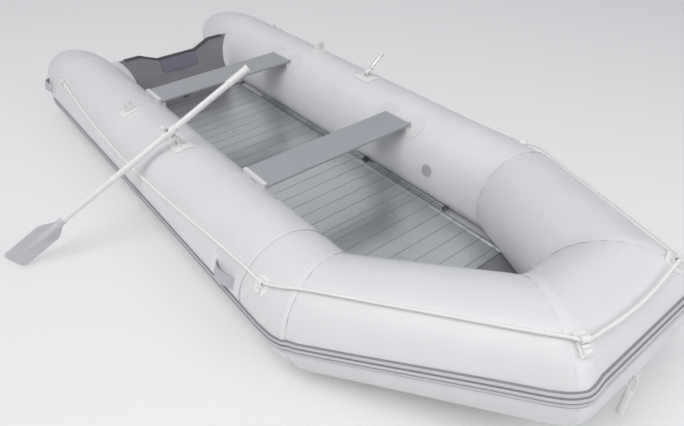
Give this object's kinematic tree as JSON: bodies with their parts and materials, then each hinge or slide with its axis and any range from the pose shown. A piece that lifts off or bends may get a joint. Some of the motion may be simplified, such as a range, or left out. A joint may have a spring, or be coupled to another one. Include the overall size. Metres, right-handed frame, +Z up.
{
  "type": "inflatable dinghy",
  "caption": "Light grey inflatable dinghy on the ground with alloy roll-up floor, two thwarts, raked transom, white life-line and one oar shipped to starboard.",
  "frame": {"origin": "on the centreline at the underside of the keel guard, about amidships; the boat stands on z = 0", "axes": "+X towards the bow, +Y to port, +Z up"},
  "size_m": [3.713, 2.1294, 0.7314],
  "materials": {
    "tube_fabric": "satin light grey coated fabric",
    "guard_rubber": "matte",
    "strake_rubber": "ribbed, satin",
    "transom_ply": "dark grey coated plywood, satin",
    "trim_plastic": "satin",
    "pad_plastic": "matte",
    "band_fabric": "satin coated fabric",
    "floor_alloy": "extruded, satin",
    "bow_ply": "dark grey painted plywood",
    "bench_ply": "mid grey painted plywood, satin",
    "bracket_pvc": "satin",
    "white_plastic": "moulded, satin",
    "steel": "brushed",
    "oar_alloy": "white enamel over aluminium",
    "blade_plastic": "moulded, satin",
    "strap_fabric": "woven webbing on a pale patch",
    "rope_fabric": "braided",
    "valve_plastic": "moulded"
  },
  "bodies": {
    "hull": {"tube_stbd": "tube_fabric", "tube_port": "tube_fabric", "shoulder_stbd": "tube_fabric", "shoulder_port": "tube_fabric", "fore_tube_stbd": "tube_fabric", "fore_tube_port": "tube_fabric", "bow_tube": "tube_fabric", "stern_cone_stbd": "tube_fabric", "stern_cone_port": "tube_fabric", "chamber_baffles": "tube_fabric", "bottom_skin": "tube_fabric", "keel_tube": "tube_fabric", "keel_guard": "guard_rubber", "strake_stbd": "strake_rubber", "strake_port": "strake_rubber", "strake_bow": "strake_rubber", "transom_board": "transom_ply", "transom_trim": "trim_plastic", "drain_body": "trim_plastic", "motor_pad_inner": "pad_plastic", "motor_pad_outer": "pad_plastic", "transom_bands": "band_fabric", "handle_pads": "band_fabric", "bow_ring_patch": "band_fabric", "floor_panel_1": "floor_alloy", "floor_panel_2": "floor_alloy", "floor_panel_3": "floor_alloy", "floor_panel_4": "floor_alloy", "stringer_stbd_aft": "floor_alloy", "stringer_stbd_fore": "floor_alloy", "stringer_port_aft": "floor_alloy", "stringer_port_fore": "floor_alloy", "bow_board": "bow_ply", "bench_aft": "bench_ply", "bench_fore": "bench_ply", "bench_brackets": "bracket_pvc", "rowlock_base_stbd": "white_plastic", "rowlock_base_port": "white_plastic", "stow_lug_stbd": "white_plastic", "stow_lug_port": "white_plastic", "rope_holders": "white_plastic", "rowlock_bolts": "steel", "carry_handles": "strap_fabric", "life_line": "rope_fabric", "valve_bodies": "valve_plastic"},
    "rowlock_stbd": {"rowlock_stem_stbd": "white_plastic", "rowlock_rod_stbd": "steel", "rowlock_knob_stbd": "white_plastic"},
    "oar": {"oar_shaft": "oar_alloy", "oar_blade": "blade_plastic", "oar_grip": "white_plastic", "oar_collar": "white_plastic"},
    "rowlock_port": {"rowlock_stem_port": "white_plastic", "rowlock_rod_port": "steel", "rowlock_knob_port": "white_plastic"},
    "drain_stopper": {"drain_plug": "trim_plastic"},
    "towing_grip": {"bow_handle": "white_plastic"},
    "cap_port": {"valve_cap_port": "valve_plastic"},
    "cap_stbd": {"valve_cap_stbd": "valve_plastic"},
    "cap_bow": {"valve_cap_bow": "valve_plastic"}
  },
  "joints": [
    {"name": "rowlock_stbd_tilt", "type": "hinge", "parent": "hull", "child": "rowlock_stbd", "pos_m": [-0.058, -0.548, 0.445], "axis": [1, 0, 0], "range_deg": [-50, 10]},
    {"name": "oar_sweep", "type": "hinge", "parent": "rowlock_stbd", "child": "oar", "pos_m": [-0.058, -0.58242, 0.49415], "axis": [0, -0.5736, 0.8192], "range_deg": [-50, 60]},
    {"name": "rowlock_port_tilt", "type": "hinge", "parent": "hull", "child": "rowlock_port", "pos_m": [-0.058, 0.548, 0.445], "axis": [1, 0, 0], "range_deg": [-12, 77]},
    {"name": "valve_port_turn", "type": "hinge", "parent": "hull", "child": "cap_port", "pos_m": [0.611, 0.33427, 0.24733], "axis": [0, -0.9848, 0.1736], "range_deg": [0, 90]},
    {"name": "valve_stbd_turn", "type": "hinge", "parent": "hull", "child": "cap_stbd", "pos_m": [0.611, -0.33427, 0.24733], "axis": [0, 0.9848, 0.1736], "range_deg": [-90, 0]},
    {"name": "valve_bow_turn", "type": "hinge", "parent": "hull", "child": "cap_bow", "pos_m": [1.18016, -0.1922, 0.33389], "axis": [-0.5109, 0.8084, 0.2925], "range_deg": [-90, 0]},
    {"name": "drain_pull", "type": "slide", "parent": "hull", "child": "drain_stopper", "axis": [-0.9703, 0, -0.2419], "range_m": [0, 0.03]},
    {"name": "towing_grip_swing", "type": "hinge", "parent": "hull", "child": "towing_grip", "pos_m": [1.82, 0, 0.242], "axis": [0, 1, 0], "range_deg": [-45, 20]}
  ]
}
